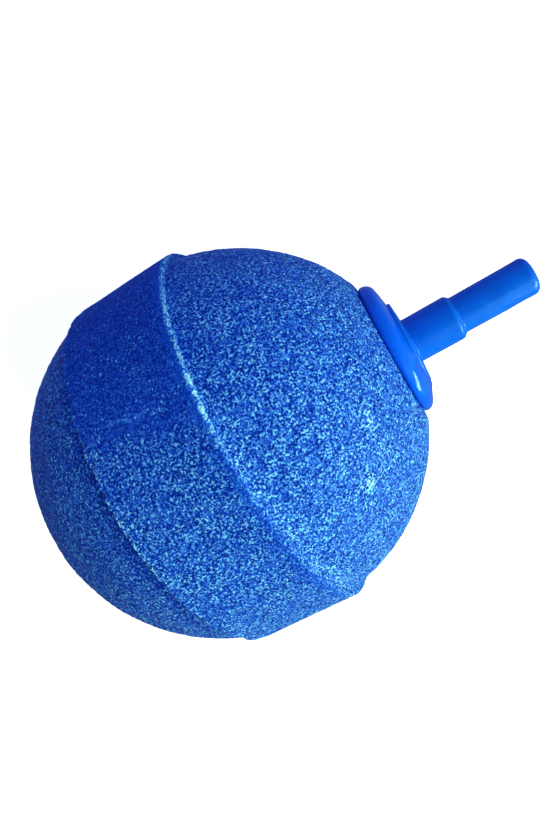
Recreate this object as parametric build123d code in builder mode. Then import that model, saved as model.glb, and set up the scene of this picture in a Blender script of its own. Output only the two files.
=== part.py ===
"""Ball air stone: a pressed grit ball with a raised belt, and a moulded hose stem glued into it.

Millimetres. X runs along the stem towards the hose, Z is up, and the origin is the middle of the belt.
Every piece is turned about X, so each outline is drawn in the XY plane as (place along X, radius).
"""

from build123d import *

import os
from math import sqrt

# Ball. The belt is the widest part, and a round cap stands on each side of it.
belt_radius = 25.0
belt_width = 13.7
belt_corner_round = 0.35  # outer corners of the belt
belt_foot_round = 0.3  # where a cap meets the side of the belt
stem_cap_relief = 0.5  # the stem cap's sphere is this much smaller than the belt
stem_cap_centre = 1.6  # past the middle of the belt
far_cap_relief = 0.05
far_cap_centre = -1.15
seat_margin = 0.65  # the flat seat under the collar is this much wider than the collar
seat_edge_round = 0.3

# Air chamber, a blind hole along X that the stem is glued into
chamber_past_centre = 4.0  # how far the hole goes beyond the middle of the belt
chamber_end_round = 2.0
glue_gap = 0.3  # radial room for glue round the spigot
glue_set_back = 0.4  # the glue stops this far inside the mouth of the hole

# Stem, one moulding: a spigot inside the ball, a flange, a shank and a hose nozzle
spigot_radius = 3.0
spigot_depth = 12.0  # below the seat
spigot_end_chamfer = 0.4
groove_count = 3
groove_width = 1.4
groove_depth = 0.4
groove_pitch = 3.0
first_groove = 2.5  # from the spigot's end to the middle of the first groove
air_bore_radius = 1.25
flange_radius = 5.6
flange_thickness = 1.2
flange_crown = 0.2  # the flange's face rises this much towards the shank
flange_edge_round = 0.15
shank_radius = 2.95
shank_length = 6.3
shoulder_run = 0.5  # length of the cone from the shank down to the nozzle
shoulder_round = 0.6
nozzle_radius = 2.45
nozzle_length = 9.8
nozzle_tip_round = 0.9

# Collar, a soft domed washer that the flange presses onto the ball
collar_radius = 8.85
collar_thickness = 2.25  # beside the flange
collar_fall = 0.6  # its top slopes down this much towards the rim
collar_rim_round = 1.4
collar_foot_round = 0.45
collar_fit = 0.05  # radial clearance round the spigot and the flange
flange_proud = 0.38  # the flange stands this much above the collar


def stem_cap_at(radius):
    """Place along X of the stem cap's surface at that radius."""
    return stem_cap_centre + sqrt(stem_cap_radius**2 - radius**2)


def cap_foot(place, centre, cap_radius):
    """Corner where a cap of that centre and radius meets the side of the belt."""
    return (place, sqrt(cap_radius**2 - (place - centre) ** 2))


# Sizes and places that follow from those
half_belt = belt_width / 2
stem_cap_radius = belt_radius - stem_cap_relief
far_cap_radius = belt_radius - far_cap_relief
far_pole = far_cap_centre - far_cap_radius
socket_radius = spigot_radius + glue_gap
chamber_end = -chamber_past_centre
seat_radius = collar_radius + seat_margin
seat = stem_cap_at(seat_radius)
spigot_end = seat - spigot_depth
collar_top = seat + collar_thickness
flange_top = collar_top + flange_proud
flange_seat = flange_top - flange_thickness
shank_start = flange_top + flange_crown
shoulder = shank_start + shank_length
nozzle_tip = shoulder + nozzle_length


def circles_at(part, place, radius):
    """The part's round edges of that radius at that place along X."""
    near = 1e-3
    round_edges = part.edges().filter_by(GeomType.CIRCLE)
    return [
        e
        for e in round_edges
        if abs(e.arc_center.X - place) < near and abs(e.radius - radius) < near
    ]


# Grit ball: belt, two caps, the flat seat, and the blind hole for stem and air
stem_foot = cap_foot(half_belt, stem_cap_centre, stem_cap_radius)
far_foot = cap_foot(-half_belt, far_cap_centre, far_cap_radius)
with BuildPart() as porous_ball:
    with BuildSketch():
        with BuildLine():
            RadiusArc((far_pole, 0), far_foot, far_cap_radius)
            Polyline(far_foot, (-half_belt, belt_radius), (half_belt, belt_radius), stem_foot)
            RadiusArc(stem_foot, (seat, seat_radius), stem_cap_radius)
            Polyline((seat, seat_radius), (seat, socket_radius), (chamber_end, socket_radius),
                     (chamber_end, 0), (far_pole, 0))
        make_face()
    revolve(axis=Axis.X)
    belt_corners = circles_at(porous_ball.part, half_belt, belt_radius)
    belt_corners += circles_at(porous_ball.part, -half_belt, belt_radius)
    fillet(belt_corners, belt_corner_round)
    belt_feet = circles_at(porous_ball.part, *stem_foot)
    belt_feet += circles_at(porous_ball.part, *far_foot)
    fillet(belt_feet, belt_foot_round)
    fillet(circles_at(porous_ball.part, seat, seat_radius), seat_edge_round)
    fillet(circles_at(porous_ball.part, chamber_end, socket_radius), chamber_end_round)

# Hose stem: grooved spigot, flange, shank and nozzle, with the air bore through all of them
stem_outline = [
    (spigot_end, air_bore_radius),
    (spigot_end, spigot_radius),
    (flange_seat, spigot_radius),
    (flange_seat, flange_radius),
    (flange_top, flange_radius),
    (shank_start, shank_radius),
    (shoulder - shoulder_run, shank_radius),
    (shoulder, nozzle_radius),
    (nozzle_tip, nozzle_radius),
    (nozzle_tip, air_bore_radius),
]
groove_places = [spigot_end + first_groove + i * groove_pitch for i in range(groove_count)]
with BuildPart() as hose_stem:
    with BuildSketch():
        with BuildLine():
            Polyline(*stem_outline, close=True)
        make_face()
        with Locations(*[(x, spigot_radius) for x in groove_places]):
            Rectangle(groove_width, 2 * groove_depth, mode=Mode.SUBTRACT)
    revolve(axis=Axis.X)
    chamfer(circles_at(hose_stem.part, spigot_end, spigot_radius), spigot_end_chamfer)
    fillet(circles_at(hose_stem.part, flange_top, flange_radius), flange_edge_round)
    fillet(circles_at(hose_stem.part, shoulder - shoulder_run, shank_radius), shoulder_round)
    fillet(circles_at(hose_stem.part, nozzle_tip, nozzle_radius), nozzle_tip_round)

# Collar: domed washer, flat underneath, with a recess on top that takes the flange
collar_bore = spigot_radius + collar_fit
collar_recess = flange_radius + collar_fit
with BuildPart() as sealing_collar:
    with BuildSketch():
        with BuildLine():
            Polyline((seat, collar_bore), (flange_seat, collar_bore), (flange_seat, collar_recess),
                     (collar_top, collar_recess), (collar_top - collar_fall, collar_radius),
                     (seat, collar_radius), close=True)
        make_face()
    revolve(axis=Axis.X)
    rim = circles_at(sealing_collar.part, collar_top - collar_fall, collar_radius)
    fillet(rim, collar_rim_round)
    fillet(circles_at(sealing_collar.part, seat, collar_radius), collar_foot_round)

# Cured glue between the spigot and the wall of its hole, filling the spigot's grooves
glue_start = spigot_end + spigot_end_chamfer
glue_end = seat - glue_set_back
with BuildPart() as socket_glue:
    with BuildSketch(Plane.YZ.offset(glue_start)):
        Circle(socket_radius)
        Circle(spigot_radius - groove_depth, mode=Mode.SUBTRACT)
    extrude(amount=glue_end - glue_start)
    add(hose_stem.part, mode=Mode.SUBTRACT)

pieces = {
    "porous_ball": porous_ball,
    "hose_stem": hose_stem,
    "sealing_collar": sealing_collar,
    "socket_glue": socket_glue,
}
os.makedirs("parts", exist_ok=True)
for name, piece in pieces.items():
    piece.part.label = name
    export_step(piece.part, f"parts/{name}.step")
    print(name, "solids", len(piece.part.solids()), "volume", round(piece.part.volume, 1))
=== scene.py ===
# %% [markdown]
# A ball air stone, finished round its CAD frame
#
# The real thing is a ball of blue grit, pressed in a steel sleeve between two cup-shaped punches and baked
# until its grains stick. A moulded blue stem is glued into it, and an air hose is pushed over the nozzle.
# The CAD model gives the places and sizes. This lesson gives the grit its grains and its crumbly rims, with
# painted glints, painted highlights along the rims and painted shade, and gives the plastic its moulded
# shine. Lengths are in millimetres until a mesh is made.

# %% Load the fixed frame
import math

import bpy
import numpy as np
from mathutils import Matrix, Vector


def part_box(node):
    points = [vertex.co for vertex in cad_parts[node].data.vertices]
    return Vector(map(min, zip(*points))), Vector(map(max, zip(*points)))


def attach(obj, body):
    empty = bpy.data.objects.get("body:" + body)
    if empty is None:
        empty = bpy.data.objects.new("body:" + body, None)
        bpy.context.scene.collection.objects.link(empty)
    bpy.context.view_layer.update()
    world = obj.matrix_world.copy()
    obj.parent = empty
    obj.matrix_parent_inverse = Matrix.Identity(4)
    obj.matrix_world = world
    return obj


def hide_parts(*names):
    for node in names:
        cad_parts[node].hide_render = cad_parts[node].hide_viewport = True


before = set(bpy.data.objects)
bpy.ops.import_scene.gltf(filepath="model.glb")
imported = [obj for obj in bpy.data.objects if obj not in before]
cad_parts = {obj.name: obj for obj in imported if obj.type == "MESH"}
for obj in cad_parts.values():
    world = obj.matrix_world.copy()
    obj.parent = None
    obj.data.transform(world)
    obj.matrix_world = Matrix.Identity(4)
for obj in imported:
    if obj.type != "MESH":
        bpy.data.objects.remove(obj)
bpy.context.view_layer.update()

MM = 0.001


def box_in_mm(node):
    return [np.array(corner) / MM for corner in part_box(node)]


ball_low, ball_high = box_in_mm("porous_ball")
stem_low, stem_high = box_in_mm("hose_stem")
collar_high = box_in_mm("sealing_collar")[1]
glue_high = box_in_mm("socket_glue")[1]
print("ball", ball_low.round(2), ball_high.round(2))

# %% [markdown]
# The camera comes first, because it decides how small the grains may be. It looks down on the stem's side of
# the ball from 8 cm, so the ball swells towards the lens. It is rolled, so the stem points up to the right.

# %% Camera
camera_along_stem = 26.7
camera_height = 81.8
camera_tilt = math.radians(13.5)
camera_roll = math.radians(29.25)
back = Vector((math.sin(camera_tilt), 0, math.cos(camera_tilt)))
level_right = Vector((math.cos(camera_tilt), 0, -math.sin(camera_tilt)))
level_up = Vector((0, 1, 0))
right = math.cos(camera_roll) * level_right - math.sin(camera_roll) * level_up
up = math.sin(camera_roll) * level_right + math.cos(camera_roll) * level_up
camera = bpy.data.objects.new("camera", bpy.data.cameras.new("camera"))
camera_place = Matrix.Translation(Vector((camera_along_stem, 0, camera_height)) * MM)
camera.matrix_world = camera_place @ Matrix((right, up, back)).transposed().to_4x4()
camera.data.lens = 27.3
camera.data.sensor_width = 36
camera.data.clip_start = 0.005
bpy.context.collection.objects.link(camera)
bpy.context.scene.camera = camera

# %% [markdown]
# Most of the light comes from one large softbox in front of the ball and one long, low lamp beside it. Only
# the lamp shines, so it alone draws the crisp highlight on the plastic: the reflection of a large box would
# draw a stripe along the stem. A weak box on the hose side and a faint one behind round the shading off.
# The grit turns cyan in strong light and stays pure blue in dim light. So the strong lights are yellowish,
# and a blue box and a blue sky fill the side that they don't reach.

# %% Light and sky
lamp_distance = 260


def softbox(name, direction, width, height, power, shines=True, colour=(1, 1, 0.6)):
    """A rectangular area light that looks at the ball. One that doesn't shine leaves no reflection."""
    lamp = bpy.data.lights.new(name, "AREA")
    lamp.shape = "RECTANGLE"
    lamp.size = width * MM
    lamp.size_y = height * MM
    lamp.energy = power
    lamp.color = colour
    place = Vector(direction).normalized() * lamp_distance * MM
    holder = bpy.data.objects.new(name, lamp)
    holder.matrix_world = Matrix.Translation(place) @ place.to_track_quat("Z", "Y").to_matrix().to_4x4()
    holder.visible_glossy = shines
    bpy.context.collection.objects.link(holder)


softbox("front_softbox", (0.52, -0.6, 0.6), 210, 150, 0.6, shines=False, colour=(1, 1, 0.8))
softbox("hose_side_softbox", (0.95, -0.3, 0.1), 210, 150, 0.1, shines=False)
softbox("lamp", (0.68, -0.73, 0.05), 160, 55, 0.48)
softbox("back_fill", (-0.6, 0.5, 0.62), 200, 200, 0.015, shines=False)
softbox("blue_fill", (0.55, 0.75, 0.35), 200, 200, 0.14, shines=False, colour=(0.22, 0.33, 1))
world = bpy.data.worlds.new("sky")
world.use_nodes = True
world.node_tree.nodes["Background"].inputs["Color"].default_value = (0.33, 0.43, 0.82, 1)
world.node_tree.nodes["Background"].inputs["Strength"].default_value = 0.38
bpy.context.scene.world = world
bpy.context.scene.view_settings.view_transform = "Standard"

# %% [markdown]
# The paper under the ball is plain and pale and curves up all round, as in a product tent. It glows a little,
# so the ball's shadow on it stays faint, but it isn't seen by the ball and adds no light of its own. It is
# a flat disc with a few rings joined to its edge, each given by its radius and its rise above the disc.

# %% Pale paper, curved up into a backdrop all round
paper_rings = [(450, 0), (520, 20), (570, 70), (600, 150), (600, 900)]
paper_sides = 64
paper_points = []
for ring_radius, ring_rise in paper_rings:
    height = ball_low[2] + ring_rise
    for k in range(paper_sides):
        side = 2 * math.pi * k / paper_sides
        paper_points.append((ring_radius * math.cos(side), ring_radius * math.sin(side), height))
paper_faces = [tuple(range(paper_sides))]
for ring in range(len(paper_rings) - 1):
    low, high = ring * paper_sides, (ring + 1) * paper_sides
    for k in range(paper_sides):
        following = (k + 1) % paper_sides
        paper_faces.append((low + k, high + k, high + following, low + following))
sheet_mesh = bpy.data.meshes.new("pale_paper")
sheet_mesh.from_pydata([(x * MM, y * MM, z * MM) for x, y, z in paper_points], [], paper_faces)
sheet_mesh.polygons.foreach_set("use_smooth", [True] * len(paper_faces))
paper = bpy.data.materials.new("pale_paper")
paper.use_nodes = True
paper_skin = paper.node_tree.nodes["Principled BSDF"]
paper_skin.inputs["Base Color"].default_value = (0.8, 0.8, 0.8, 1)
paper_skin.inputs["Roughness"].default_value = 0.9
paper_skin.inputs["Emission Color"].default_value = (1, 1, 1, 1)
paper_skin.inputs["Emission Strength"].default_value = 0.85
sheet_mesh.materials.append(paper)
sheet = bpy.data.objects.new("pale_paper", sheet_mesh)
sheet.visible_diffuse = False
sheet.visible_glossy = False
sheet.visible_shadow = False
bpy.context.collection.objects.link(sheet)

# %% [markdown]
# Every piece is turned about the stem's axis, so each starts as an outline of places along X and radii.
# An outline could be typed point by point, but a corner with a radius is what a mould maker would draw.
# So each corner carries its round, and one helper turns the rounds into arcs.

# %% Outlines with rounded corners
arc_steps = 6
cap_steps = 160


def rounded(corners):
    """An outline from corners (x, radius, round). The first and the last corner stay sharp."""
    points = [np.array(corners[0][:2], float)]
    for before, corner, after in zip(corners, corners[1:], corners[2:]):
        here = np.array(corner[:2], float)
        if corner[2] == 0:
            points.append(here)
            continue
        to_before = np.array(before[:2]) - here
        to_after = np.array(after[:2]) - here
        to_before = to_before / np.linalg.norm(to_before)
        to_after = to_after / np.linalg.norm(to_after)
        half_angle = math.acos(np.clip(to_before @ to_after, -1, 1)) / 2
        middle = (to_before + to_after) / np.linalg.norm(to_before + to_after)
        centre = here + middle * corner[2] / math.sin(half_angle)
        reach = corner[2] / math.tan(half_angle)
        start = here + to_before * reach - centre
        end = here + to_after * reach - centre
        for share in np.linspace(0, 1, arc_steps + 1):
            spoke = start * (1 - share) + end * share
            points.append(centre + spoke * corner[2] / np.linalg.norm(spoke))
    points.append(np.array(corners[-1][:2], float))
    return np.array(points)


def cap(centre, radius, start, end):
    """Corners along a round cap from one place on X to another, evenly spaced by angle."""
    first = math.acos((start - centre) / radius)
    last = math.acos((end - centre) / radius)
    spokes = np.linspace(first, last, cap_steps)
    return [(centre + radius * math.cos(spoke), radius * math.sin(spoke), 0) for spoke in spokes]


# %% [markdown]
# The ball's outline runs from its far pole over the far cap, the belt and the hose-side cap to the flat seat
# under the collar, and then back down the air chamber. The belt's skin lies a little inside its CAD radius,
# which leaves room for the crumbly ridges that the press leaves along both of its edges.

# %% The ball's outline
belt_radius = ball_high[2]
half_belt = 6.85
ridge_room = 0.14
belt_skin = belt_radius - ridge_room
hose_rim_radius = belt_skin - 0.04
far_rim_round, hose_rim_round = 0.3, 0.5
taper_length, taper_round = 1.4, 12
near_cap_centre, near_cap_radius = 1.6, belt_radius - 0.5
far_cap_centre, far_cap_radius = -1.15, belt_radius - 0.05
seat = ball_high[0]
far_pole = ball_low[0]
seat_radius = math.sqrt(near_cap_radius**2 - (seat - near_cap_centre) ** 2)
socket_radius = glue_high[1]
chamber_end = -4.0
chamber_round = 2.0
skin_outline = rounded(
    cap(far_cap_centre, far_cap_radius, far_pole, -half_belt)
    + [(-half_belt, belt_skin, far_rim_round), (half_belt - taper_length, belt_skin, taper_round),
       (half_belt, hose_rim_radius, hose_rim_round)]
    + cap(near_cap_centre, near_cap_radius, half_belt, seat)
    + [(seat, socket_radius, 0)]
)
chamber_outline = rounded(
    [(seat, socket_radius, 0), (chamber_end, socket_radius, chamber_round), (chamber_end, 0, 0)]
)
print("seat radius", round(seat_radius, 2), "skin outline", len(skin_outline), "points")

# %% [markdown]
# A lathe with the same number of steps in every ring crowds its points at the poles, but grains have one size
# everywhere. So each ring gets as many points as its own length needs, and neighbouring rings are zipped
# together with triangles about one grain wide. The rims get smaller triangles, because they crumble finer.

# %% Places for the rings
grain = 0.34
rim_grain = 0.2
rim_grain_reach, grain_reach = 0.9, 1.5
chamber_step = 1.0
fine_steps = 8000


def rim_distance(x, r):
    """Distance from the nearer edge of the belt."""
    return np.hypot(np.abs(x) - half_belt, r - np.where(x > 0, hose_rim_radius, belt_skin))


def skin_spacing(x, r):
    return np.interp(rim_distance(x, r), [rim_grain_reach, grain_reach], [rim_grain, grain])


def chamber_spacing(x, r):
    return np.full(len(x), chamber_step)


def ring_places(outline, spacing_at):
    """Places, radii and spacings of rings along an outline, each about its own spacing from the last."""
    lengths = np.hypot(*np.diff(outline, axis=0).T)
    along = np.concatenate([[0], np.cumsum(lengths)])
    fine = np.linspace(0, along[-1], fine_steps)
    x, r = (np.interp(fine, along, outline[:, column]) for column in (0, 1))
    spacing = spacing_at(x, r)
    passed = np.concatenate([[0], np.cumsum(np.diff(fine) / spacing[1:])])
    stops = np.interp(np.linspace(0, passed[-1], round(passed[-1]) + 1), passed, fine)
    return np.column_stack([np.interp(stops, fine, values) for values in (x, r, spacing)])


skin_rings = ring_places(skin_outline, skin_spacing)
chamber_rings = ring_places(chamber_outline, chamber_spacing)
rings = np.vstack([skin_rings, chamber_rings[1:]])
print("rings", len(rings))

# %% Points round each ring
dice = np.random.default_rng(50)
nudge = 0.3


def ring_turns(radius, spacing):
    """Angles of a ring's points: evenly spaced from a start of its own, then nudged. A pole has one point."""
    count = max(1, round(2 * math.pi * radius / spacing))
    if count < 3:
        return np.zeros(1)
    nudges = dice.uniform(-nudge, nudge, count)
    return (np.arange(count) + 0.5 + nudges) * 2 * math.pi / count


turns = [ring_turns(r, spacing) for x, r, spacing in rings]
ring_starts = np.concatenate([[0], np.cumsum([len(turn) for turn in turns])])

# %% The zip between two rings
def zip_rings(first_start, first_turns, second_start, second_turns):
    """Triangles between two rings. Each step goes on along the ring whose next point comes first."""
    n, m = len(first_turns), len(second_turns)
    if n == 1:
        return [(first_start, second_start + (k + 1) % m, second_start + k) for k in range(m)]
    if m == 1:
        return [(first_start + k, first_start + (k + 1) % n, second_start) for k in range(n)]
    full = 2 * math.pi
    triangles = []
    i = j = 0
    while i < n or j < m:
        next_first = first_turns[(i + 1) % n] + full * ((i + 1) // n)
        next_second = second_turns[(j + 1) % m] + full * ((j + 1) // m)
        here, there = first_start + i % n, second_start + j % m
        if j == m or (i < n and next_first < next_second):
            triangles.append((here, first_start + (i + 1) % n, there))
            i += 1
        else:
            triangles.append((here, second_start + (j + 1) % m, there))
            j += 1
    return triangles


triangles = []
for k in range(len(rings) - 1):
    triangles += zip_rings(ring_starts[k], turns[k], ring_starts[k + 1], turns[k + 1])
print("points", ring_starts[-1], "triangles", len(triangles))

# %% [markdown]
# Crumbs, lumps and scuffs need randomness that is smooth over a chosen size. Blender's own noise does this
# point by point, which is slow in Python for a hundred thousand points. A lattice of random numbers, blended
# between its corners for all the points at once, gives the same thing in a few lines.

# %% Smooth randomness
lattice_side = 32


def smooth_noise(points, size, seed):
    """Random numbers from -1 to 1 that change smoothly over about that size."""
    lattice = np.random.default_rng(seed).uniform(-1, 1, (lattice_side,) * 3)
    cells = np.floor(points / size).astype(int)
    share = points / size - cells
    share = share * share * (3 - 2 * share)
    total = np.zeros(len(points))
    for corner in np.ndindex(2, 2, 2):
        weight = np.prod(np.where(corner, share, 1 - share), axis=1)
        total += weight * lattice[tuple(((cells + corner) % lattice_side).T)]
    return total


def between(values, start, end):
    """0 before start, 1 after end, and a smooth rise between them. start may be the larger."""
    share = np.clip((values - start) / (end - start), 0, 1)
    return share * share * (3 - 2 * share)


# %% Each point's place, outward direction and angle round the stem
def points_round(x, r, turn):
    """Points from places along the stem, radii and angles round it."""
    return np.column_stack([x, r * np.cos(turn), r * np.sin(turn)])


counts = np.diff(ring_starts)
tangents = np.gradient(rings[:, :2], axis=0)
tangents /= np.maximum(np.hypot(*tangents.T), 1e-9)[:, None]
x = np.repeat(rings[:, 0], counts)
r = np.repeat(rings[:, 1], counts)
out_x = np.repeat(-tangents[:, 1], counts)
out_r = np.repeat(tangents[:, 0], counts)
turn = np.concatenate(turns)
places = points_round(x, r, turn)
outward = points_round(out_x, out_r, turn)
angle = np.degrees(turn)
on_skin = np.arange(len(x)) < ring_starts[len(skin_rings)]

# %% [markdown]
# The press leaves different skins on one ball. The caps are open, with painted glints on them. The belt slid
# along the sleeve's wall when the ball was pushed out, so one side of it is rubbed nearly smooth and carries
# a few fine scratches; that side's colour is also darkened as painted shade, where the light falls away. Each
# of these is a mask from 0 to 1 over the points, which the shape and the finish both use. Angles round the
# stem are in degrees from 0 to 360. They start at +Y and pass the top at 90.

# %% Masks of the belt's skin
from_rim = rim_distance(x, r)
wander = 4 * smooth_noise(places, 5.0, seed=1) + 2 * smooth_noise(places, 1.6, seed=2)
wavy_angle = angle + wander
on_belt = between(r, belt_radius - 0.45, belt_radius - 0.2)
on_belt *= between(np.abs(x), half_belt + 0.05, half_belt - 0.1)
# The rubbed patch, also painted in shade, ends on a slant across the top of the belt, and a strip of it goes
# on beside the rim.
rubbed_end = 76 + 0.8 * x
rubbed_and_shaded = on_belt * between(wavy_angle, rubbed_end + 6, rubbed_end)
rubbed_shaded_strip = on_belt * between(x, half_belt - 1.5, half_belt - 0.7)
rubbed_shaded_strip *= between(wavy_angle, 74, 84) * between(wavy_angle, 160, 135)

# %% Masks of the two rims
step_foot, far_step_foot = 24.0, 24.45
near_rim = np.exp(-(from_rim / 0.38) ** 2)
near_rim_hose = near_rim * (x > 0)
near_rim_far = near_rim * (x < 0)
# The shoulder beside the hose-side rim, where the grains were rolled flat. Its smooth, saturated blue is
# painted light that the rounded shoulder catches, stronger on the upper part.
edge_roll_glow = on_belt * between(x + 0.3 * smooth_noise(places, 1.3, seed=9), half_belt - 1.5, half_belt - 0.4)
edge_roll_glow *= (1 - near_rim) * between(angle, 5, 30) * between(angle, 165, 135)
edge_roll_glow *= 0.45 + 0.55 * between(angle, 112, 84)
# The step down from that rim to the cap, which carries painted highlight, and a band of the cap below the
# step, which carries painted glints.
past_belt = x > half_belt - 0.2
rim_wall_highlight = past_belt * np.exp(-(from_rim / 0.5) ** 2) * between(r, step_foot, step_foot + 0.3)
cap_side_glints = past_belt * np.exp(-(np.maximum(from_rim - 1.0, 0) / 0.9) ** 2)
cap_side_glints *= between(r, step_foot + 0.4, step_foot)
cap_side_glints *= between(wavy_angle, 78, 92) * between(angle, 170, 145)
# Painted shadow in the crease where the far cap meets the belt, darkest near the top.
far_crease_shadow = (x < -half_belt + 0.05) * (x > -half_belt - 4) * np.exp(-((x + half_belt) / 1.5) ** 2)
far_crease_shadow *= between(r, far_step_foot + 0.3, far_step_foot)
far_crease_shadow *= 0.35 + 0.65 * between(angle, 66, 80) * between(angle, 126, 108)
# The side of the hose-side rim where the ridge of flash still stands. Elsewhere it has crumbled away.
ridge_side = between(angle, 10, 26) * between(angle, 96, 86)


# %% Clusters of painted glints, and scratches
def patch(centre, size):
    """1 at that point and 0 well outside that size, for a cluster of painted glints."""
    return np.exp(-np.sum((places - np.array(centre)) ** 2, axis=1) / size**2)


glint_clusters = np.maximum(patch((19.3, -5.1, 16.1), 0.8), patch((16.2, -10.8, 16.4), 0.8))
scratch_width = 0.16
scratches = [((-2.9, 72.4), (-0.9, 73.4)), ((-0.8, 73.9), (1.4, 73.9)),
             ((1.9, 74.6), (2.9, 75.2)), ((-5.9, 74.1), (-4.7, 74.3))]


def scratch(start, end):
    """A fine scratch on the belt between two points (x, angle): 1 along its middle, 0 a grain away."""
    line = np.array([x - start[0], np.radians(angle - start[1]) * belt_radius])
    run = np.array([end[0] - start[0], math.radians(end[1] - start[1]) * belt_radius])
    share = np.clip(run @ line / (run @ run), 0, 1)
    gap = np.hypot(*(line - run[:, None] * share))
    return on_belt * np.exp(-(gap / scratch_width) ** 2)


scratched = np.max([scratch(start, end) for start, end in scratches], axis=0)
print("rubbed share of the points", round(float(rubbed_and_shaded.mean()), 3))

# %% [markdown]
# The masks now shape the skin. Each point is lifted or sunk along its outward direction: by its own grain, by
# lumps a few grains wide, by the ridge on the hose-side rim and by the chips out of the far rim. The seat
# stays just under the collar. Last, nothing may reach past the sizes of the CAD ball.

# %% Shape of the skin
grain_lift, skin_sink = 0.065, 0.03
ridge_foot, ridge_height, far_ridge_height = 0.06, 0.16, 0.08
scratch_burr = 0.04
crumb_reach = 0.18
skin_clearance = 0.005
bumps = dice.uniform(-1, 1, len(x))
lumps = 0.05 * smooth_noise(places, 3.5, seed=3) + 0.035 * smooth_noise(places, 1.1, seed=4)
calm = np.maximum(0.75 * rubbed_and_shaded, 0.3 * rubbed_shaded_strip)
lift = lumps * (1 - 0.5 * calm) + grain_lift * bumps * (1 - calm) - skin_sink
ridge_noise = 0.5 + 0.5 * smooth_noise(places, 0.55, seed=5)
ridge_noise += 0.35 * smooth_noise(places, 1.7, seed=6)
lift += near_rim_hose * (ridge_foot + ridge_height * ridge_noise * (0.35 + 0.65 * ridge_side))
chips = 0.3 * smooth_noise(places, 0.8, seed=7) + 0.25 * smooth_noise(places, 2.6, seed=8)
lift -= near_rim_far * np.clip(chips, 0, 1)
lift += near_rim_far * far_ridge_height * ridge_noise
lift += scratch_burr * scratched
on_seat = between(r, seat_radius + 0.2, seat_radius - 0.1) * (x > seat - 0.5)
lift = np.where(on_seat > 0, np.minimum(lift, 0.03 * (1 - on_seat)) - 0.04 * on_seat, lift)
lift[~on_skin] = 0
places = places + outward * lift[:, None]
crumbled = np.clip(ridge_noise, 0, 1) * ridge_side
crumbled += 0.9 * smooth_noise(places, 1.4, seed=10) * (1 - ridge_side)
places[:, 0] += near_rim_hose * crumb_reach * crumbled
reach = np.hypot(places[:, 1], places[:, 2])
places[:, 1:] *= np.minimum(1, (belt_radius - skin_clearance) / np.maximum(reach, 1e-6))[:, None]
places[:, 0] = np.maximum(places[:, 0], far_pole)
print("lift", lift.min().round(3), lift.max().round(3))

# %% [markdown]
# The finish can't see the masks, which are only numbers in this lesson. So the mesh carries them on its
# points as attributes, which the finish reads by their names.

# %% Points and triangles to an object
def make_piece(name, points, faces, masks=None, smooth=False):
    """A Blender object from points in millimetres, with a float attribute on its points for each mask."""
    mesh = bpy.data.meshes.new(name)
    mesh.from_pydata((points * MM).tolist(), [], faces)
    mesh.update()
    for mask_name, values in (masks or {}).items():
        attribute = mesh.attributes.new(mask_name, "FLOAT", "POINT")
        attribute.data.foreach_set("value", values.astype(np.float32))
    mesh.polygons.foreach_set("use_smooth", np.full(len(mesh.polygons), smooth))
    piece = bpy.data.objects.new(name, mesh)
    bpy.context.collection.objects.link(piece)
    print(name, len(mesh.vertices), "points", len(mesh.polygons), "faces")
    return piece


# %% The ball, with its masks
# The height mask follows each point's own lift, so the finish paints sunk points darker, as painted shade in
# the pits.
grain_height_shade = np.clip(0.5 + bumps * 0.5 * (1 - calm), 0, 1)
crumbs = np.clip(0.6 + 1.3 * smooth_noise(places, 0.42, seed=11), 0, 1.4)
# Painted highlight along the rims: pale crumbs on the hose-side ridge and its step wall, strongest near 78
# degrees round the stem where the light falls best, and beads along the far rim's lit stretch.
highlight_peak = 0.75 + 0.45 * np.exp(-((angle - 78) / 18) ** 2)
rim_highlight_paint = np.maximum(near_rim_hose, 0.8 * rim_wall_highlight) * (0.12 + 0.88 * ridge_side)
rim_highlight_paint *= highlight_peak * (0.35 + 0.9 * crumbs)
rim_highlight_paint += near_rim_far * crumbs * (0.3 + 0.7 * between(angle, 70, 76) * between(angle, 122, 110))
ball_masks = {
    "height": grain_height_shade,
    "rim": rim_highlight_paint,
    "rubbed_and_shaded": np.maximum(rubbed_and_shaded, 0.6 * rubbed_shaded_strip),
    "roll_glow": edge_roll_glow,
    "crease_shadow": far_crease_shadow,
    "scratch": scratched,
    "painted_glints": np.maximum(glint_clusters, 0.3 * cap_side_glints),
}
ball = make_piece("grit_ball", places, triangles, ball_masks)

# %% [markdown]
# A finish is a small network of nodes. Joining nodes by hand in Python takes two lines for each wire, so one
# helper makes a node, sets its values and joins the wires that are given to it by the socket's name.

# %% Nodes
def node(tree, kind, settings=None, **inputs):
    """A shader node. An input that is another node's socket is joined, and any other value is set."""
    made = tree.nodes.new("ShaderNode" + kind)
    for name, value in (settings or {}).items():
        setattr(made, name, value)
    for name, value in inputs.items():
        socket = made.inputs[int(name[1:])] if name[0] == "_" else made.inputs[name.replace("_", " ")]
        if isinstance(value, bpy.types.NodeSocket):
            tree.links.new(value, socket)
        else:
            socket.default_value = value
    return made


def maths(tree, operation, a, b):
    return node(tree, "Math", {"operation": operation}, _0=a, _1=b).outputs[0]


def plus(tree, value, extra, amount):
    """value and that amount of extra. A negative amount takes away."""
    return maths(tree, "ADD", value, maths(tree, "MULTIPLY", extra, amount))


def mask(tree, name):
    """A mask that the mesh carries on its points."""
    return node(tree, "Attribute", {"attribute_name": name}).outputs["Fac"]


def blend_colour(tree, share, a, b):
    return node(tree, "Mix", {"data_type": "RGBA"}, _0=share, _6=a, _7=b).outputs[2]


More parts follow.
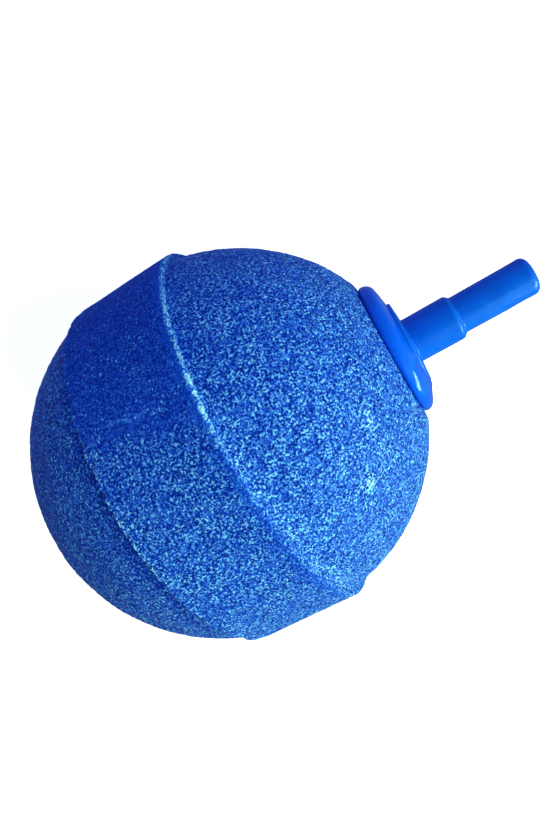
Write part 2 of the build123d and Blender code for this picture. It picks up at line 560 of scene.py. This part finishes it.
def ramp(tree, share, stops):
    """A colour ramp through stops (place, colour)."""
    made = node(tree, "ValToRGB", Fac=share)
    elements = made.color_ramp.elements
    for place, colour in stops[1:-1]:
        elements.new(place).color = (*colour, 1)
    elements[0].position, elements[0].color = stops[0][0], (*stops[0][1], 1)
    elements[-1].position, elements[-1].color = stops[-1][0], (*stops[-1][1], 1)
    return made.outputs["Color"]


def scale_in_mm(size):
    """A noise node's scale for features of that size."""
    return 1 / (size * MM)


def new_finish(name):
    finish = bpy.data.materials.new(name)
    finish.use_nodes = True
    return finish, finish.node_tree, finish.node_tree.nodes["Principled BSDF"]


def cover(tree, skin, colour, roughness, relief, bump_strength, bump_depth):
    """Join a finish's colour, roughness and relief to its shader. The bump's depth is in millimetres."""
    tree.links.new(colour, skin.inputs["Base Color"])
    tree.links.new(roughness, skin.inputs["Roughness"])
    bump = node(tree, "Bump", Height=relief, Strength=bump_strength, Distance=bump_depth * MM)
    tree.links.new(bump.outputs["Normal"], skin.inputs["Normal"])


# %% [markdown]
# The grit is crushed stone under a thin glassy blue bond. It shows three scales: worm-like gaps between the
# grains, single grains of slightly different blue, and patches a few millimetres wide that are more or less
# open. Three noises of those sizes mix one ramp from navy pits to pale blue grain tops.

# %% Grit finish
worm_width = 0.23
worm_contrast = 2.95
grain_width = 0.38
speck_width = 0.42
patch_width = 2.0
speck_share = 0.84
speck_size = 0.32
middle_shade = 0.42
palest_shade = 0.85
# The colours of two kinds of painted light: the rolled shoulder's glow and the glints' cyan-white.
roll_glow_blue = (0.0, 0.12, 0.85, 1)
glint_colour = (0.4, 0.95, 0.97, 1)


def grit_finish():
    finish, tree, skin = new_finish("blue_grit")
    place = node(tree, "TexCoord").outputs["Object"]
    worms = node(tree, "TexNoise", Vector=place, Scale=scale_in_mm(worm_width), Detail=0.6, Roughness=0.6,
                 Distortion=0.5).outputs[0]
    grains = node(tree, "TexVoronoi", Vector=place, Scale=scale_in_mm(grain_width)).outputs["Color"]
    patches = node(tree, "TexNoise", Vector=place, Scale=scale_in_mm(patch_width), Detail=2.0).outputs[0]
    rim = mask(tree, "rim")
    rubbed_and_shaded_here = mask(tree, "rubbed_and_shaded")
    glint_paint = mask(tree, "painted_glints")

    # The swing from gap to grain top, which the bump uses too. It is weaker on the rubbed skin, and in the
    # patches where the grit is closed up.
    swing = maths(tree, "MULTIPLY", maths(tree, "SUBTRACT", worms, 0.5), worm_contrast)
    # Raised grain points are painted paler and sunk ones darker: painted shade in the pits.
    swing = plus(tree, swing, maths(tree, "SUBTRACT", mask(tree, "height"), 0.5), 0.3)
    swing = plus(tree, swing, maths(tree, "SUBTRACT", grains, 0.5), 0.25)
    openness = plus(tree, 0.3, patches, 1.4)
    openness = maths(tree, "MULTIPLY", openness, plus(tree, 1.0, rubbed_and_shaded_here, -0.4))
    swing = maths(tree, "MULTIPLY", swing, openness)

    # A few grains get a painted glint, as if a flat face caught the light: a round pale speck in a cell that
    # its random colour picks out.
    cells = node(tree, "TexVoronoi", Vector=place, Scale=scale_in_mm(speck_width))
    cell_number = node(tree, "SeparateColor", Color=cells.outputs["Color"]).outputs[0]
    chosen = maths(tree, "GREATER_THAN", cell_number, speck_share)
    inside = maths(tree, "LESS_THAN", cells.outputs["Distance"], speck_size)
    speck_glints = maths(tree, "MULTIPLY", chosen, inside)

    # Everything that makes the grit paler or darker is added to one shade, which the ramp turns into blues.
    # Some of it is painted light: glints, rim highlights, the crease's shadow and the rubbed side's shade.
    shade = maths(tree, "ADD", swing, middle_shade)
    # Painted glints on the specks.
    shade = plus(tree, shade, speck_glints, 0.4)
    # Painted highlight along both rims.
    shade = plus(tree, shade, rim, 0.75)
    # Painted shadow in the far crease.
    shade = plus(tree, shade, mask(tree, "crease_shadow"), -0.3)
    # Painted glints in the clusters and on the cap below the hose-side step.
    shade = plus(tree, shade, glint_paint, 0.4)
    shade = plus(tree, shade, mask(tree, "scratch"), 0.35)
    # The rubbed side is darkened: painted shade on the upper belt and in the strip beside the hose-side rim.
    shade = plus(tree, shade, rubbed_and_shaded_here, -0.12)
    colour = ramp(tree, shade, [
        (0.0, (0.002, 0.024, 0.3)),
        (0.25, (0.006, 0.055, 0.52)),
        (0.5, (0.022, 0.135, 0.72)),
        (0.75, (0.05, 0.285, 0.78)),
        (1.0, (0.19, 0.65, 0.95)),
    ])
    # Painted light on the rolled shoulder: a smooth, brighter saturated blue.
    colour = blend_colour(tree, maths(tree, "MULTIPLY", mask(tree, "roll_glow"), 0.4), colour, roll_glow_blue)
    # Where painted glints and rim highlights push the shade past its palest, the grain turns cyan-white: a
    # painted highlight.
    glint_share = maths(tree, "MAXIMUM", glint_paint, maths(tree, "MULTIPLY", rim, 0.6))
    glint_tops = maths(tree, "MULTIPLY", maths(tree, "GREATER_THAN", shade, palest_shade), glint_share)
    colour = blend_colour(tree, glint_tops, colour, glint_colour)

    roughness = plus(tree, plus(tree, 0.28, worms, 0.3), rubbed_and_shaded_here, 0.25)
    skin.inputs["Specular IOR Level"].default_value = 0.2
    skin.inputs["Specular Tint"].default_value = (0.05, 0.55, 1, 1)
    cover(tree, skin, colour, roughness, swing, bump_strength=0.5, bump_depth=0.12)
    return finish


def dress(piece, finish, slot, *nodes):
    """Give a new piece its finish, ride it on the one body, and let it stand for those CAD nodes."""
    piece.data.materials.clear()
    piece.data.materials.append(finish)
    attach(piece, "root")
    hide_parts(*nodes)


dress(ball, grit_finish(), "grit", "porous_ball")

# %% [markdown]
# The stem and the collar are mouldings. Their outlines are closed, with the bore as the inner side, so a
# plain lathe suits them. A real moulding is never a perfect lathe shape: a seam shows where the mould's
# halves meet, and thick sections shrink a little. Both are added to the turned points.

# %% Lathe for mouldings
lathe_steps = 160
longest_step = 0.5
mould_line_turn = math.radians(38)
mould_line_width = 0.02
sink_size = 2.4
shrink_start, shrink_full = 1.6, 2.2


def turned(name, outline, seam, shrink, seed, skew=None):
    """A moulding turned from a closed outline. seam is the height of the mould line, shrink the sink marks.

    skew(places, radii) may then push the points off the true round.
    """
    closed = np.vstack([outline, outline[:1]])
    points = []
    for start, end in zip(closed, closed[1:]):
        count = max(1, math.ceil(np.linalg.norm(end - start) / longest_step))
        points += [start + (end - start) * k / count for k in range(count)]
    x, r = np.repeat(np.array(points), lathe_steps, axis=0).T
    turn = np.tile(np.arange(lathe_steps) * 2 * math.pi / lathe_steps, len(points))
    sink = (smooth_noise(points_round(x, r, turn), sink_size, seed) - 1) * shrink / 2
    mould_line = seam * np.exp(-((np.sin(turn - mould_line_turn)) / mould_line_width) ** 2)
    outside = between(r, shrink_start, shrink_full)
    r = r + (sink + mould_line) * outside
    places = points_round(x, r, turn)
    if skew:
        places = skew(places, r)
    faces = []
    for k in range(len(points)):
        here, there = k * lathe_steps, (k + 1) % len(points) * lathe_steps
        for step in range(lathe_steps):
            following = (step + 1) % lathe_steps
            faces.append((here + step, here + following, there + following, there + step))
    return make_piece(name, places, faces, smooth=True)


# %% [markdown]
# The stem is one moulding. Its spigot has three grooves that the glue grips, its flange presses on the
# collar, and a hose is pushed over the thinner nozzle as far as the shank. Its lengths are counted back from
# the nozzle's tip, because the tip and the spigot's end are the places that the frame gives.

# %% Stem outline
spigot_end, nozzle_tip = stem_low[0], stem_high[0]
flange_radius = stem_high[1]
bore_radius = 1.25
spigot_radius = 3.0
shank_radius, nozzle_radius = 2.95, 2.45
nozzle_length, shank_length = 9.8, 6.3
flange_slope, flange_thickness = 0.2, 1.2
shoulder = nozzle_tip - nozzle_length
shank_start = shoulder - shank_length
flange_top = shank_start - flange_slope
flange_seat = flange_top - flange_thickness
groove_floor = spigot_radius - 0.4
first_groove, groove_pitch, groove_half_width, groove_round = 2.5, 3.0, 0.7, 0.08
grooves = []
for groove in range(3):
    middle = spigot_end + first_groove + groove_pitch * groove
    start, end = middle - groove_half_width, middle + groove_half_width
    grooves += [(start, spigot_radius, groove_round), (start, groove_floor, groove_round),
                (end, groove_floor, groove_round), (end, spigot_radius, groove_round)]
stem_outline = rounded(
    [(spigot_end, bore_radius, 0), (spigot_end, groove_floor, 0.1), (spigot_end + 0.4, spigot_radius, 0.1)]
    + grooves
    + [(flange_seat, spigot_radius, 0.05), (flange_seat, flange_radius, 0.08),
       (flange_top, flange_radius, 0.3), (shank_start, shank_radius, 0.12),
       (shoulder - 0.5, shank_radius, 0.6), (shoulder, nozzle_radius, 0.15),
       (nozzle_tip, nozzle_radius, 0.9), (nozzle_tip, bore_radius, 0)]
)
stem = turned("moulded_stem", stem_outline[::-1], seam=0.03, shrink=0.05, seed=21)

# %% [markdown]
# The collar is a softer washer, domed on top, that the flange presses on to the seat. It hides the glue. It
# was pushed home by hand, so its rim sits a hair to one side. On the other side its dome has crept up
# beside the flange and sagged at its edge.

# %% Collar outline
collar_radius = collar_high[1]
collar_fit = 0.05
collar_bore = spigot_radius + collar_fit
recess_radius = flange_radius + collar_fit
collar_top = collar_high[0]
collar_outline = rounded(
    [(seat, collar_bore, 0), (seat, collar_radius, 0.45), (collar_top - 0.6, collar_radius, 1.4),
     (collar_top, recess_radius, 0.12), (flange_seat, recess_radius, 0.05), (flange_seat, collar_bore, 0)]
)


def pushed_askew(places, radii):
    """The collar's rim moves 0.2 mm sideways, and one side of its dome creeps up beside the flange."""
    height_share = np.clip((places[:, 0] - seat) / (collar_top - seat), 0, 1)
    one_side = np.clip(-places[:, 1] / radii, 0, 1) ** 2
    crept = 0.3 * between(radii, 7.2, 6.0) * between(radii, recess_radius - 0.3, recess_radius - 0.02)
    sagged = 0.25 * between(radii, 7.0, 8.2)
    places[:, 0] += (crept - sagged) * one_side * height_share
    places[:, 1] += 0.2 * between(radii, recess_radius, recess_radius + 1)
    return places


collar = turned("domed_collar", collar_outline[::-1], seam=0.0, shrink=0.06, seed=22, skew=pushed_askew)

# %% [markdown]
# The plastic is dyed through, so its colour barely changes. What makes it look moulded is its gloss: clear
# along the rounds, broken by faint flow marks and by the fine scratches of handling. The collar's resin is
# glossier than the stem's.

# %% Plastic finish
def plastic_finish(name, deep, light, roughness, stretch, sheen_tint):
    """Dyed plastic. stretch is how much longer than wide its flow marks are, along the stem."""
    finish, tree, skin = new_finish(name)
    place = node(tree, "TexCoord").outputs["Object"]
    flow_place = node(tree, "Mapping", Vector=place, Scale=(1 / stretch, 1, 1)).outputs[0]
    clouds = node(tree, "TexNoise", Vector=place, Scale=scale_in_mm(2.2), Detail=3.0).outputs[0]
    flow = node(tree, "TexNoise", Vector=flow_place, Scale=scale_in_mm(0.6), Detail=2.0).outputs[0]
    fine = node(tree, "TexNoise", Vector=place, Scale=scale_in_mm(0.16), Detail=2.0).outputs[0]
    shade = plus(tree, maths(tree, "MULTIPLY", clouds, 0.75), flow, 0.25)
    colour = ramp(tree, shade, [(0.3, deep), (0.7, light)])
    uneven_roughness = plus(tree, roughness - 0.08, flow, 0.16)
    skin.inputs["Specular IOR Level"].default_value = 0.5
    skin.inputs["Specular Tint"].default_value = (*sheen_tint, 1)
    relief = plus(tree, flow, fine, 0.4)
    cover(tree, skin, colour, uneven_roughness, relief, bump_strength=0.25, bump_depth=0.03)
    return finish


stem_finish = plastic_finish("stem_plastic", deep=(0.0, 0.105, 0.66), light=(0.001, 0.15, 0.82),
                             roughness=0.3, stretch=6, sheen_tint=(0.35, 0.95, 1))
collar_finish = plastic_finish("collar_plastic", deep=(0.0, 0.095, 0.78), light=(0.002, 0.135, 0.92),
                               roughness=0.17, stretch=1, sheen_tint=(0.35, 0.98, 1))
dress(stem, stem_finish, "stem_plastic", "hose_stem")
dress(collar, collar_finish, "collar_plastic", "sealing_collar")

# %% [markdown]
# The cured glue fills the gap round the spigot, inside the ball. Its CAD shape is right as it is, so only its
# finish changes: an amber epoxy, cloudy with small bubbles.

# %% Glue finish
def glue_finish():
    finish, tree, skin = new_finish("cured_epoxy")
    place = node(tree, "TexCoord").outputs["Object"]
    clouds = node(tree, "TexNoise", Vector=place, Scale=scale_in_mm(1.4), Detail=3.0).outputs[0]
    from_bubble = node(tree, "TexVoronoi", Vector=place, Scale=scale_in_mm(0.5)).outputs["Distance"]
    bubble = maths(tree, "LESS_THAN", from_bubble, 0.22)
    amber = ramp(tree, clouds, [(0.3, (0.42, 0.27, 0.1)), (0.7, (0.62, 0.47, 0.24))])
    colour = blend_colour(tree, bubble, amber, (0.75, 0.66, 0.45, 1))
    roughness = plus(tree, 0.4, clouds, 0.2)
    cover(tree, skin, colour, roughness, from_bubble, bump_strength=0.4, bump_depth=0.05)
    return finish


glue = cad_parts["socket_glue"]
glue_skin = glue_finish()
for slot in glue.material_slots:
    slot.material = glue_skin
print("glue slots", len(glue.material_slots))
